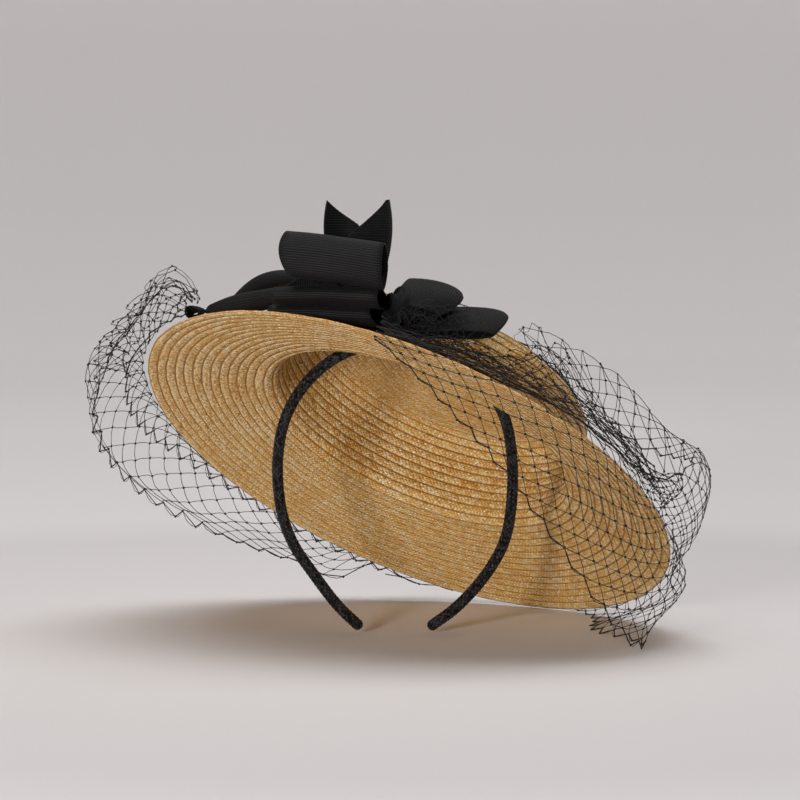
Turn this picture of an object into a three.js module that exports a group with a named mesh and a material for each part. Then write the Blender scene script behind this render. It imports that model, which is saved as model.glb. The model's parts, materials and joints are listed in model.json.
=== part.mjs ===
// A straw hat fascinator: a shallow sewn-braid hat on a covered headband, trimmed with a
// ribbon bow and an open net veil. Lengths are millimetres, angles are degrees, +Z is up.
// The whole object stands on a table: on both tips of the headband, on the lowest
// point of the brim and on the corner of the veil.

import * as THREE from 'three';

// ---- Driving dimensions --------------------------------------------------------------

const STRAW_WALL = 1.8;
const BRIM_RADIUS = 151.3;
const BRIM_DROOP = 16.4; // how far the brim's edge hangs below its root
const BRIM_ROOT_RADIUS = 93;
const CROWN_RADIUS = 84; // inside
const CROWN_HEIGHT = 62.4; // inside, from the plane of the brim's edge
const CROWN_CORNER = 14; // rounding between the crown's side and its top
const HAT_TILT_SIDE = 24.3; // the hat leans down to its right
const HAT_TILT_BACK = 27.1; // and down at its far side
const HAT_STEPS = 80;

const BAND_THICKNESS = 6.2;
const BAND_WIDTH = 8;
const BAND_LEAN = 11.2; // the top of the headband leans forward to the near crown wall
const BAND_FOOT = { x: -5.6, y: -12.2 };

const RIBBON_WALL = 1.2;

const NET_WALL = 1;
const GAP = 0.3;

// ---- Helpers -------------------------------------------------------------------------

const rad = THREE.MathUtils.degToRad;
const root = new THREE.Group();

function addMesh(name, geometry, material, parent = root) {
  const mesh = new THREE.Mesh(geometry, material);
  mesh.name = name;
  parent.add(mesh);
  return mesh;
}

const hatTurn = new THREE.Quaternion().setFromEuler(
  new THREE.Euler(rad(-HAT_TILT_BACK), rad(HAT_TILT_SIDE), 0, 'YXZ'),
);

// A point given by its radius, its angle round the hat and its height over the brim's edge
function onHat(radius, angle, height) {
  const place = new THREE.Vector3(
    radius * Math.cos(rad(angle)),
    radius * Math.sin(rad(angle)),
    height,
  );
  return place.applyQuaternion(hatTurn);
}

const floorHeight = -BRIM_RADIUS * Math.hypot(onHat(1, 0, 0).z, onHat(1, 90, 0).z);

// ---- Straw hat: crown and brim are one wall of sewn braid ------------------------------

const strawMaterial = new THREE.MeshStandardMaterial({
  color: 0xd9b47c, roughness: 0.6, metalness: 0,
});

// Half section of one face of the wall, from the brim's edge to the middle of the crown
function hatSection(offset) {
  const slope = Math.atan2(BRIM_DROOP, BRIM_RADIUS - BRIM_ROOT_RADIUS);
  const side = CROWN_RADIUS + offset;
  const top = CROWN_HEIGHT + offset;
  const corner = CROWN_CORNER + offset;
  const bend = BRIM_ROOT_RADIUS - CROWN_RADIUS - offset;
  const section = [new THREE.Vector2(BRIM_RADIUS, offset)];
  const brimRings = 3;
  for (let ring = 1; ring <= brimRings; ring += 1) {
    const share = ring / brimRings;
    section.push(new THREE.Vector2(
      THREE.MathUtils.lerp(BRIM_RADIUS, BRIM_ROOT_RADIUS, share),
      offset + BRIM_DROOP * share,
    ));
  }
  const bendCentre = BRIM_DROOP + offset + bend;
  for (let step = 1; step <= 3; step += 1) {
    const turn = slope + (Math.PI / 2 - slope) * (step / 3);
    section.push(new THREE.Vector2(
      side + bend - bend * Math.sin(turn),
      bendCentre - bend * Math.cos(turn),
    ));
  }
  for (let step = 0; step <= 4; step += 1) {
    const turn = (Math.PI / 2) * (step / 4);
    section.push(new THREE.Vector2(
      side - corner + corner * Math.cos(turn),
      top - corner + corner * Math.sin(turn),
    ));
  }
  section.push(new THREE.Vector2(side * 0.4, top + 0.8));
  section.push(new THREE.Vector2(0, top + 1));
  return section;
}

const underside = hatSection(0);
const topside = hatSection(STRAW_WALL);
const hatOutline = [...underside.reverse(), ...topside];
const hatGeometry = new THREE.LatheGeometry(hatOutline, HAT_STEPS);
hatGeometry.rotateX(Math.PI / 2);
const straw = addMesh('straw_hat', hatGeometry, strawMaterial);
straw.quaternion.copy(hatTurn);

// ---- Headband: an oval tube bent into a hoop that narrows to its two tips ---------------

const bandMaterial = new THREE.MeshStandardMaterial({
  color: 0x17161a, roughness: 0.45, metalness: 0,
});

// The hoop's centre line, from the tips up: half width on each side at each height
const BAND_SIDES = [
  { left: 18.2, right: 17.8, up: 3.1 },
  { left: 30.4, right: 33.4, up: 15.4 },
  { left: 43.5, right: 48.6, up: 33.3 },
  { left: 54.8, right: 58.2, up: 51.2 },
  { left: 60.7, right: 61.8, up: 69.2 },
  { left: 62.5, right: 62.3, up: 97.5 },
];
const BAND_TOP_RISE = 65; // from the last row up to the middle of the hoop's top

function bandCurve() {
  const rightSide = BAND_SIDES.map((row) => new THREE.Vector3(row.right, 0, row.up));
  const leftSide = BAND_SIDES.map((row) => new THREE.Vector3(-row.left, 0, row.up));
  const shoulder = BAND_SIDES[BAND_SIDES.length - 1];
  const arc = [];
  const arcSteps = 8;
  for (let step = 1; step < arcSteps; step += 1) {
    const turn = (Math.PI * step) / arcSteps;
    arc.push(new THREE.Vector3(
      shoulder.right * Math.cos(turn), 0, shoulder.up + BAND_TOP_RISE * Math.sin(turn),
    ));
  }
  const points = [...rightSide, ...arc, ...leftSide.reverse()];
  return new THREE.CatmullRomCurve3(points, false, 'centripetal');
}

// The tube starts as a capsule along Y, and each of its points is carried onto the curve
function bendCapsule(curve, width, thickness, steps, sides) {
  const length = curve.getLength();
  const radius = thickness / 2;
  const geometry = new THREE.CapsuleGeometry(radius, length, 3, sides, steps);
  const place = geometry.getAttribute('position');
  const sideways = new THREE.Vector3(0, 1, 0);
  for (let index = 0; index < place.count; index += 1) {
    const along = place.getY(index) + length / 2;
    const inside = THREE.MathUtils.clamp(along / length, 0, 1);
    const beyond = along - inside * length;
    const centre = curve.getPointAt(inside);
    const forward = curve.getTangentAt(inside);
    const outward = new THREE.Vector3().crossVectors(forward, sideways);
    centre.addScaledVector(forward, beyond);
    centre.addScaledVector(outward, place.getX(index));
    centre.addScaledVector(sideways, place.getZ(index) * (width / thickness));
    place.setXYZ(index, centre.x, centre.y, centre.z);
  }
  return geometry;
}

const bandGeometry = bendCapsule(bandCurve(), BAND_WIDTH, BAND_THICKNESS, 48, 10);
const band = addMesh('headband', bandGeometry, bandMaterial);
band.rotation.x = rad(BAND_LEAN);
band.position.set(BAND_FOOT.x, BAND_FOOT.y, floorHeight);

// ---- Bow: loops of one ribbon, each a hollow roll that is open at both ends -------------

const ribbonMaterial = new THREE.MeshStandardMaterial({
  color: 0x141317, roughness: 0.8, metalness: 0,
});

// Each loop points away from the bow's middle, with its bend at its tip. across is the
// direction of the ribbon's width, which starts at tip. length runs from the tip to the
// loop's pinched root, and ribbon is how much of the ribbon's width is laid open.
const LOOPS = [
  { name: 'loop_top_roll', tip: [-12, -109, 112.3], point: [-0.12, -0.98, 0.06],
    across: [-0.98, 0.12, 0.13], length: 29, height: 27, ribbon: 54 },
  { name: 'loop_middle', tip: [-15, -106, 96.95], point: [-0.16, -0.97, 0.12],
    across: [-0.98, 0.16, 0.02], length: 36, height: 11, ribbon: 55 },
  { name: 'loop_lower', tip: [-19, -101, 86.9], point: [-0.25, -0.95, 0.12],
    across: [-0.95, 0.28, 0.03], length: 36, height: 9.6, ribbon: 54 },
  { name: 'loop_left', tip: [-75, -72, 93.8], point: [-0.45, -0.88, 0.05],
    across: [-0.82, 0.5, -0.22], length: 22, height: 12.5, ribbon: 36 },
  { name: 'loop_left_back', tip: [-61, -55, 104.2], point: [-0.5, -0.85, 0.1],
    across: [-0.84, 0.42, -0.33], length: 26, height: 13, ribbon: 39 },
  { name: 'loop_left_end', tip: [-105.2, -54.5, 85.9], point: [0.4, -0.88, 0],
    across: [-0.88, -0.4, 0.2], length: 9, height: 7, ribbon: 7 },
  { name: 'loop_right_upper', tip: [26.5, -63, 97], point: [0.99, 0, -0.1],
    across: [-0.05, -0.98, -0.2], length: 28.6, height: 13.5, ribbon: 29 },
  { name: 'loop_right_lower', tip: [51.5, -59, 84.4], point: [1, 0, 0],
    across: [0, -1, -0.15], length: 52.6, height: 11, ribbon: 31 },
];

// Drop-shaped outline of a loop: pinched at its root, round at its tip
function loopOutline(length, height, inset) {
  const steps = 22;
  const points = [];
  for (let step = 0; step < steps; step += 1) {
    const turn = (2 * Math.PI * step) / steps;
    const reach = (1 + Math.cos(turn)) / 2;
    const swell = 0.34 + 0.66 * Math.sqrt(reach);
    points.push(new THREE.Vector2(
      (length - 2 * inset) * (reach - 1) - inset,
      (height / 2 - inset) * Math.sin(turn) * swell,
    ));
  }
  return points;
}

function ribbonLoop({ length, height, ribbon }) {
  const shape = new THREE.Shape(loopOutline(length, height, 0));
  shape.holes.push(new THREE.Path(loopOutline(length, height, RIBBON_WALL)));
  return new THREE.ExtrudeGeometry(shape, { depth: ribbon, bevelEnabled: false });
}

for (const loop of LOOPS) {
  const mesh = addMesh(loop.name, ribbonLoop(loop), ribbonMaterial);
  const across = new THREE.Vector3(...loop.across).normalize();
  const point = new THREE.Vector3(...loop.point);
  point.addScaledVector(across, -point.dot(across)).normalize();
  const rise = new THREE.Vector3().crossVectors(across, point);
  const frame = new THREE.Matrix4().makeBasis(point, rise, across);
  mesh.quaternion.setFromRotationMatrix(frame);
  mesh.position.set(...loop.tip);
}

// ---- Bow tail: one end of the ribbon, folded in an S and cut to a swallowtail ------------

// The tail's plan from its left edge to its right edge
const TAIL_PLAN = [
  { x: -41, y: -74 }, { x: -35, y: -66 }, { x: -27, y: -64 }, { x: -28, y: -71 },
  { x: -21, y: -76 }, { x: -10, y: -71 },
];
const TAIL_TIP_HEIGHT = 145.8;
const TAIL_NOTCH_HEIGHT = 129;
const TAIL_FOOT_HEIGHT = 96.8;
const TAIL_BULGE = 2.2; // radians of a sine: the tail is widest below its tips
const TAIL_FOOT = { x: -24, y: -71, pinch: 0.6 };

// A thin sheet: sheetPoint gives its middle surface for u and v from 0 to 1
function thinSheet(sheetPoint, stepsU, stepsV, wall) {
  const geometry = new THREE.BoxGeometry(1, 1, 1, stepsU, stepsV, 1);
  const place = geometry.getAttribute('position');
  const reach = 0.002;
  for (let index = 0; index < place.count; index += 1) {
    const u = place.getX(index) + 0.5;
    const v = place.getY(index) + 0.5;
    const side = Math.sign(place.getZ(index));
    const alongU = sheetPoint(Math.min(u + reach, 1), v).sub(sheetPoint(Math.max(u - reach, 0), v));
    const alongV = sheetPoint(u, Math.min(v + reach, 1)).sub(sheetPoint(u, Math.max(v - reach, 0)));
    const normal = alongU.cross(alongV).normalize();
    const point = sheetPoint(u, v).addScaledVector(normal, (side * wall) / 2);
    place.setXYZ(index, point.x, point.y, point.z);
  }
  return geometry;
}

const tailPlan = new THREE.CatmullRomCurve3(
  TAIL_PLAN.map((point) => new THREE.Vector3(point.x, point.y, 0)), false, 'centripetal',
);

function tailPoint(u, v) {
  const plan = tailPlan.getPoint(u);
  const fromMiddle = Math.abs(2 * u - 1);
  const top = THREE.MathUtils.lerp(TAIL_NOTCH_HEIGHT, TAIL_TIP_HEIGHT, fromMiddle);
  const fullness = Math.sin(TAIL_BULGE * v) / Math.sin(TAIL_BULGE);
  const spread = THREE.MathUtils.lerp(TAIL_FOOT.pinch, 1, fullness);
  return new THREE.Vector3(
    THREE.MathUtils.lerp(TAIL_FOOT.x, plan.x, spread),
    THREE.MathUtils.lerp(TAIL_FOOT.y, plan.y, spread),
    THREE.MathUtils.lerp(TAIL_FOOT_HEIGHT, top, v),
  );
}

addMesh('bow_tail', thinSheet(tailPoint, 20, 6, RIBBON_WALL), ribbonMaterial);

// ---- Bow knot: the gathered middle of the ribbon, sewn down to the brim ------------------

const KNOT = { width: 9, depth: 24, height: 33, x: -5.9, y: -79, z: 83.3 };

const knotGeometry = new THREE.SphereGeometry(0.5, 20, 14);
const knot = addMesh('bow_knot', knotGeometry, ribbonMaterial);
knot.scale.set(KNOT.width, KNOT.depth, KNOT.height);
knot.position.set(KNOT.x, KNOT.y, KNOT.z);

// ---- Net veil: a strip tacked round the brim's edge, one half falling, one half rising ---

const netMaterial = new THREE.MeshStandardMaterial({
  color: 0x0d0d0f, roughness: 0.7, metalness: 0, transparent: true, opacity: 0.35,
});

const NET_TACK = { radius: BRIM_RADIUS + 1.55, height: 2.3 };

// One row for each place round the brim. The falling half is measured from the brim's edge,
// outward and down in the upright frame, and rests on the table where it reaches it. The
// rising half has three points, by radius and height over the plane of the brim's edge.
const NET_ROWS = [
  { angle: -108, swell: 1, out: 0, down: 5, low: [141, 8, 0], crest: [128, 12, 0], top: [119, 17, 0] },
  { angle: -98, swell: 1, out: 0, down: 21, low: [138, 9, 0], crest: [118, 14, 0], top: [102, 26, 0] },
  { angle: -85, swell: 1, out: 0, down: 43, low: [136, 10, 0], crest: [112, 18, 0], top: [96, 36, 0] },
  { angle: -72, swell: 1, out: 0, down: 66, low: [136, 11, 0], crest: [110, 22, 0], top: [94, 46, 0] },
  { angle: -60, swell: 1, out: -1, down: 84, low: [138, 12, 0], crest: [114, 28, 0], top: [96, 54, 0] },
  { angle: -48, swell: 3, out: -4, down: 90, low: [149, 7, 0], crest: [147, 10, 0], top: [144, 13, 0] },
  { angle: -38, swell: 10, out: -9, down: 90, low: [154, 7, 0], crest: [155, 11, 0], top: [151, 14, 0] },
  { angle: -30, swell: 16, out: -16, down: 90, low: [156, 10, 0], crest: [158, 22, 0], top: [152.5, 31, 0] },
  { angle: -22, swell: 18, out: -26, down: 90, low: [159, 16, 0], crest: [161, 38, 0], top: [151, 54, 0] },
  { angle: -11, swell: 16, out: -40, down: 90, low: [158, 22, 0], crest: [150, 58, 0], top: [134, 67, -4] },
  { angle: 4, swell: 12, out: -40, down: 90, low: [153, 34, 0], crest: [120, 78, -12], top: [114, 70, -19] },
  { angle: 20, swell: 6, out: -21, down: 90, low: [149, 38, 0], crest: [93, 90, -33], top: [93, 71, -41] },
  { angle: 32, swell: 3, out: -5, down: 90, low: [148, 40, 0], crest: [72, 95, -51], top: [73, 72, -60] },
  { angle: 44, swell: 3, out: 8, down: 90, low: [148, 40, 0], crest: [48, 97, -74], top: [52, 73, -90] },
  { angle: 58, swell: 3, out: 12, down: 3, low: [149, 38, 0], crest: [38, 96, -98], top: [46, 75, -122] },
  { angle: 70, swell: 3, out: 12, down: 5, low: [150, 34, 0], crest: [72, 88, -62], top: [62, 74, -74] },
  { angle: 80, swell: 3, out: 8, down: 7, low: [154, 22, 0], crest: [128, 58, -14], top: [114, 52, -18] },
  { angle: 91, swell: 3, out: 6, down: 6, low: [159, 10, 0], crest: [166, 8, 0], top: [160, -8, 0] },
  { angle: 103, swell: 2, out: 3, down: 5, low: [161, 8, 0], crest: [171, -3, 0], top: [158, -17, 0] },
  { angle: 116, swell: 2, out: 3, down: 6, low: [164, 8, 0], crest: [177, -9, 0], top: [160, -24, 0] },
  { angle: 129, swell: 2, out: 3, down: 8, low: [168, 8, 0], crest: [183, -16, 0], top: [167, -29, 0] },
  { angle: 142, swell: 2, out: 7, down: 13, low: [170, 8, 0], crest: [187, -20, 0], top: [173, -32, 0] },
  { angle: 155, swell: 2, out: 11, down: 18, low: [171, 8, 0], crest: [188, -18, 0], top: [175, -30, 0] },
  { angle: 167, swell: 2, out: 12, down: 18, low: [170, 9, 0], crest: [186, -11, 0], top: [174, -22, 0] },
  { angle: 178, swell: 2, out: 11, down: 12, low: [167, 10, 0], crest: [181, -2, 0], top: [170, -8, 0] },
  { angle: 188, swell: 1, out: 6, down: 4, low: [163, 12, 0], crest: [173, 10, 0], top: [165, 6, 0] },
  { angle: 197, swell: 1, out: 3, down: 0, low: [160, 14, 0], crest: [167, 20, 0], top: [161, 22, 0] },
  { angle: 204, swell: 0, out: 1, down: -1, low: [155, 6, 0], crest: [157, 11, 0], top: [153, 13, 0] },
];

function netSection(row) {
  const tack = onHat(NET_TACK.radius, row.angle, NET_TACK.height);
  const room = tack.z - floorHeight - NET_WALL / 2;
  const outward = onHat(1, row.angle, 0).setZ(0).normalize();
  const edge = tack.clone().addScaledVector(outward, row.out);
  edge.z -= Math.min(row.down, room);
  const middle = tack.clone().lerp(edge, 0.45).addScaledVector(outward, row.swell);
  return [
    edge, middle, tack,
    ...[row.low, row.crest, row.top].map(
      ([radius, height, turn]) => onHat(radius, row.angle + turn, height),
    ),
  ];
}

const netSections = NET_ROWS.map(netSection);
const netRails = netSections[0].map((point, rail) => new THREE.CatmullRomCurve3(
  netSections.map((section) => section[rail]), false, 'catmullrom', 0.5,
));

function netPoint(u, v) {
  const across = netRails.map((rail) => rail.getPoint(u));
  return new THREE.CatmullRomCurve3(across, false, 'centripetal').getPoint(v);
}

addMesh('veil', thinSheet(netPoint, 81, 14, NET_WALL), netMaterial);

// ---- The object stands on Z = 0, with its origin under the middle of its box -------------

const box = new THREE.Box3().setFromObject(root, true);
const middle = box.getCenter(new THREE.Vector3());
root.position.set(-middle.x, -middle.y, -box.min.z);

export default root;
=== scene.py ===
# %% [markdown]
# A straw fascinator: a shallow hat of sewn plait on a covered headband, trimmed with a
# ribbon bow and an open net veil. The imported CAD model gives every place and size, and the
# looks are built round it, one material of the milliner's at a time: first the set, then
# straw, headband, ribbon and net.

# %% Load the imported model
import json
import math
from collections import namedtuple

import bmesh
import bpy
import numpy as np
from mathutils import Matrix, Vector, noise
from mathutils.bvhtree import BVHTree


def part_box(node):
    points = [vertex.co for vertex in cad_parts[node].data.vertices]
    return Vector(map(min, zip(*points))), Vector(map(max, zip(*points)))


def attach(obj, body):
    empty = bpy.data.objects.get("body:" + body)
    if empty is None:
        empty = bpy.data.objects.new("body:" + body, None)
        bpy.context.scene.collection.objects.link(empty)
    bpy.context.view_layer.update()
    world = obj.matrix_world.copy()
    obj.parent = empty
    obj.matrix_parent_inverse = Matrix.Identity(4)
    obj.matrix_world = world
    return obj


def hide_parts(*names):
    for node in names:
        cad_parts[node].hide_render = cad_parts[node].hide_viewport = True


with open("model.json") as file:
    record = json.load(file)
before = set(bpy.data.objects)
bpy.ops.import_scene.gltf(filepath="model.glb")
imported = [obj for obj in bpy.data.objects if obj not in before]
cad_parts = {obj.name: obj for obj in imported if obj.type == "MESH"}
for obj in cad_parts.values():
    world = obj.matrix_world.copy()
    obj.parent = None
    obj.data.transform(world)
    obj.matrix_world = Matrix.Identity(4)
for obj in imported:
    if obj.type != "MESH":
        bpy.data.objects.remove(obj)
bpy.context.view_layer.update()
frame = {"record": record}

# %% [markdown]
# The record's mount "hoop" lies midway between the headband's tips, and the middle of the
# brim's edge is a known step from it. The hat leans down to its right and to its far side,
# so one small rotation turns the hat's own directions into the frame's. Millimetres are
# kinder to read than metres, so shapes are worked out in them and scaled at the end.

# %% Where the hat is
MM = 0.001
TAU = 2 * math.pi
HOOP_TO_RIM = Vector((5.6, 12.2, 88.4))
LEAN_RIGHT, LEAN_BACK = math.radians(24.3), math.radians(-27.1)
hoop = next(mount for mount in frame["record"]["mounts"] if mount["name"] == "hoop")
RIM_CENTRE = Vector(hoop["pos_m"]) + HOOP_TO_RIM * MM
HAT_TURN = Matrix.Rotation(LEAN_RIGHT, 3, "Y") @ Matrix.Rotation(LEAN_BACK, 3, "X")
FLOOR = -RIM_CENTRE.z / MM


def on_hat(radius, angle, height):
    """Millimetres from the middle of the brim's edge, by radius, angle in degrees and height."""
    turn = math.radians(angle)
    return HAT_TURN @ Vector((radius * math.cos(turn), radius * math.sin(turn), height))


def to_frame(bm):
    """Scales a shape from millimetres and moves it to its place in the frame."""
    bmesh.ops.scale(bm, vec=(MM, MM, MM), verts=bm.verts)
    bmesh.ops.translate(bm, vec=RIM_CENTRE, verts=bm.verts)


print("middle of the brim's edge", [round(x, 4) for x in RIM_CENTRE], "floor", round(FLOOR, 2))

# %% [markdown]
# The camera stands low and far off with a long lens, as for a catalogue picture. That keeps
# the brim's ellipse calm and nearly free of perspective.

# %% Camera
CAMERA_RISE = math.radians(4)
CAMERA_DISTANCE = 2.0
CAMERA_LENS, CAMERA_SENSOR = 166.5, 36
AIM = RIM_CENTRE + Vector((-3, 0, 36.8)) * MM
camera_data = bpy.data.cameras.new("camera")
camera_data.lens = CAMERA_LENS
camera_data.sensor_width = CAMERA_SENSOR
camera_data.clip_end = 50
camera = bpy.data.objects.new("camera", camera_data)
camera.location = AIM + CAMERA_DISTANCE * Vector((0, -math.cos(CAMERA_RISE), math.sin(CAMERA_RISE)))
camera.rotation_euler = (math.pi / 2 - CAMERA_RISE, 0, 0)
bpy.context.scene.collection.objects.link(camera)
bpy.context.scene.camera = camera
bpy.context.scene.view_settings.view_transform = "Standard"
print("camera at", [round(x, 3) for x in camera.location])

# %% [markdown]
# Every finished shape is shown in one way: its faces are made to point outwards and it
# becomes a smooth mesh in one material. A piece of the hat then rides on the part's only
# body, and the CAD node that it stands for is hidden.

# %% Show a shape, and hand a piece over
def show(name, mesh, material):
    """Puts a mesh into the scene as an object in one material."""
    mesh.shade_smooth()
    mesh.materials.clear()
    mesh.materials.append(material)
    shown = bpy.data.objects.new(name, mesh)
    bpy.context.scene.collection.objects.link(shown)
    return shown


def show_bmesh(name, bm, material):
    """The same from a bmesh, which is used up."""
    bmesh.ops.recalc_face_normals(bm, faces=bm.faces)
    mesh = bpy.data.meshes.new(name)
    bm.to_mesh(mesh)
    bm.free()
    return show(name, mesh, material)


def hand_over(piece, node):
    """Puts a piece of the hat on the root body and hides the CAD node that it stands for."""
    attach(piece, "root")
    if node:
        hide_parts(node)
    triangles = sum(len(polygon.vertices) - 2 for polygon in piece.data.polygons)
    print(piece.name, triangles, "triangles")


# %% [markdown]
# A finish is a graph of shader nodes, which is long to write node by node. Here an output
# is wrapped in a small class that knows sums: adding two outputs adds the Math node that
# works the sum out. A finish then reads as a few formulas, and is the same graph inside.

# %% Formulas for shader nodes
def feed(socket, value):
    """Gives a socket an output, a number or a colour. None leaves it as it is."""
    if isinstance(value, Output):
        tree.links.new(value.socket, socket)
    elif value is not None:
        socket.default_value = (*value, 1) if socket.type == "RGBA" else value


def add_node(kind, *values, **settings):
    """Adds a node, feeds its first inputs, and gives its first output."""
    node = tree.nodes.new("ShaderNode" + kind)
    for name, setting in settings.items():
        setattr(node, name, setting)
    for socket, value in zip(node.inputs, values):
        feed(socket, value)
    return Output(node.outputs[0])


def maths(operation, *values, clamp=False):
    """One Math node. clamp holds its result between 0 and 1."""
    return add_node("Math", *values, operation=operation, use_clamp=clamp)


def sum_method(operation, swapped=False):
    """The method that a Python sign calls, such as a + b."""
    return lambda self, other: maths(operation, *((other, self) if swapped else (self, other)))


class Output:
    """One output of a node. Used in a formula, it adds the Math nodes."""

    def __init__(self, socket):
        self.socket = socket

    __add__ = __radd__ = sum_method("ADD")
    __mul__ = __rmul__ = sum_method("MULTIPLY")
    __sub__, __rsub__ = sum_method("SUBTRACT"), sum_method("SUBTRACT", swapped=True)
    __truediv__, __mod__, __pow__ = (sum_method(name) for name in ("DIVIDE", "MODULO", "POWER"))


def split(vector):
    """The three numbers of a vector."""
    return [Output(socket) for socket in add_node("SeparateXYZ", vector).socket.node.outputs]


def object_place():
    """Where a point is in the frame, in metres."""
    return Output(tree.nodes.new("ShaderNodeTexCoord").outputs["Object"])


def ramp(factor, stops):
    """A colour ramp of (place, colour) stops, where a single number stands for a grey."""
    made = add_node("ValToRGB", factor)
    elements = made.socket.node.color_ramp.elements
    elements[0].position, elements[-1].position = stops[0][0], stops[-1][0]
    for place, _ in stops[1:-1]:
        elements.new(place)
    for element, (_, colour) in zip(elements, stops):
        element.color = (*colour, 1) if isinstance(colour, tuple) else (colour, colour, colour, 1)
    return made


def start_material(name):
    """Starts a node material, which the next nodes are added to."""
    global tree
    material = bpy.data.materials.new(name)
    material.use_nodes = True
    tree = material.node_tree
    return material


def feed_shader(settings):
    """Feeds the named inputs of the material's shader."""
    for name, value in settings.items():
        feed(tree.nodes["Principled BSDF"].inputs[name], value)
    print(len(tree.nodes), "nodes in this finish")


# %% [markdown]
# The set is a round dish of pale warm paper: flat under the object, then swept up into a low
# wall beyond the camera, so that it looks alike from every side. Its section is a chain of
# points that is spun once round the upright axis. The object's lamps hardly reach its outer
# parts, so painted light stands in for them there: the paper is given an emission glow that
# grows out to the wall's foot and fades up the wall, though it is no lamp.

# %% Paper
PAPER_COLOUR = (0.79, 0.765, 0.765)
PAPER_PAINTED_LIGHT = [
    (0.0, 0.0), (0.105, 0.0), (0.135, 0.075), (0.195, 0.125), (0.255, 0.18), (0.315, 0.237),
    (0.4, 0.277), (0.5, 0.285), (0.585, 0.28), (0.62, 0.246), (0.7, 0.162), (0.77, 0.1), (1.0, 0.03),
]
DISH_FLAT, DISH_CURVE, DISH_WALL = 2.6, 0.5, 1.4
DISH_REACH = DISH_FLAT + DISH_CURVE + DISH_WALL

paper_material = start_material("paper")
x, y, z = split(object_place())
away = (maths("SQRT", x * x + y * y) + z) / DISH_REACH
tint = [c / PAPER_COLOUR[0] for c in PAPER_COLOUR]
feed_shader({
    # The emission is painted light, standing in for the lamps out on the paper.
    "Emission Color": ramp(away, [(at, tuple(level * c for c in tint)) for at, level in PAPER_PAINTED_LIGHT]),
    "Emission Strength": 1.0,
    "Base Color": PAPER_COLOUR,
    "Roughness": 0.9,
    "Specular IOR Level": 0.2,
})

# %% Paper dish
DISH_STEPS = 128
CURVE_STEPS = 16
POLE_MERGE = 0.01


def spin_section(bm, section, steps):
    """Joins points into a chain, spins it once round the upright axis, and closes its poles."""
    edges = [bm.edges.new(pair) for pair in zip(section, section[1:])]
    bmesh.ops.spin(
        bm, geom=section + edges, cent=(0, 0, 0), axis=(0, 0, 1), dvec=(0, 0, 0),
        angle=TAU, steps=steps, use_merge=True, use_duplicate=False,
    )
    poles = [vert for vert in bm.verts if vert.co.xy.length < POLE_MERGE]
    bmesh.ops.remove_doubles(bm, verts=poles, dist=POLE_MERGE)


dish_section = [(0, 0)] + [
    (DISH_FLAT + DISH_CURVE * math.sin(turn), DISH_CURVE * (1 - math.cos(turn)))
    for turn in np.linspace(0, math.pi / 2, CURVE_STEPS + 1)
] + [(DISH_FLAT + DISH_CURVE, DISH_WALL)]
dish = bmesh.new()
spin_section(dish, [dish.verts.new((x, 0, z)) for x, z in dish_section], DISH_STEPS)
paper = show_bmesh("paper", dish, paper_material)
print("paper dish", len(paper.data.polygons), "faces")

# %% [markdown]
# One broad soft box hangs over the object and gives the wide dark pool beneath the hat. A
# smaller lamp stands to the left of the camera and a little above it. It lights the straw's
# underside and throws the headband's thin shadow on it. A dim world fills the rest.

# %% Lamps
LAMPS = [
    # name, place, what it faces, size, power, colour
    ("top_box", (0.05, 0.15, 1.6), (0.05, 0.1, 0), (1.5, 1.1), 20.2, (1, 0.985, 0.975)),
    ("front_lamp", (-0.8, -2.3, 0.4), AIM, (0.35, 0.35), 40, (1, 0.98, 0.965)),
]
WORLD_COLOUR, WORLD_STRENGTH = (1, 0.985, 0.985, 1), 0.015

for name, place, facing, size, power, colour in LAMPS:
    data = bpy.data.lights.new(name, "AREA")
    data.shape = "RECTANGLE"
    data.size, data.size_y = size
    data.energy, data.color = power, colour
    lamp = bpy.data.objects.new(name, data)
    lamp.location = place
    lamp.rotation_euler = (Vector(facing) - Vector(place)).to_track_quat("-Z", "Y").to_euler()
    bpy.context.scene.collection.objects.link(lamp)
    print(name, power, "W")
world = bpy.data.worlds.new("studio")
world.use_nodes = True
background = world.node_tree.nodes["Background"].inputs
background["Color"].default_value = WORLD_COLOUR
background["Strength"].default_value = WORLD_STRENGTH
bpy.context.scene.world = world

# %% [markdown]
# A straw hat like this one is sewn from a single long plait that winds from the middle of
# the crown out to the brim, each round lapping over the last. It could be a smooth turned
# shell with bumps painted on, but the rounds show at every edge, so they are real shape
# here: the half section of the wall carries a low ridge for each round, with a sharp step
# where the next one laps over it, and spinning that section gives the whole hat.

# %% Half section of the wall
STRAW_WALL = 1.8
BRIM_RADIUS = 151.3
BRIM_DROOP = 16.4
BRIM_ROOT = 93.0
CROWN_RADIUS = 84.0
CROWN_HEIGHT = 62.4
CROWN_CORNER = 14.0
CROWN_DOME = 1.0
BRIM_POINTS, ROOT_POINTS, CORNER_POINTS = 41, 13, 17


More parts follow.
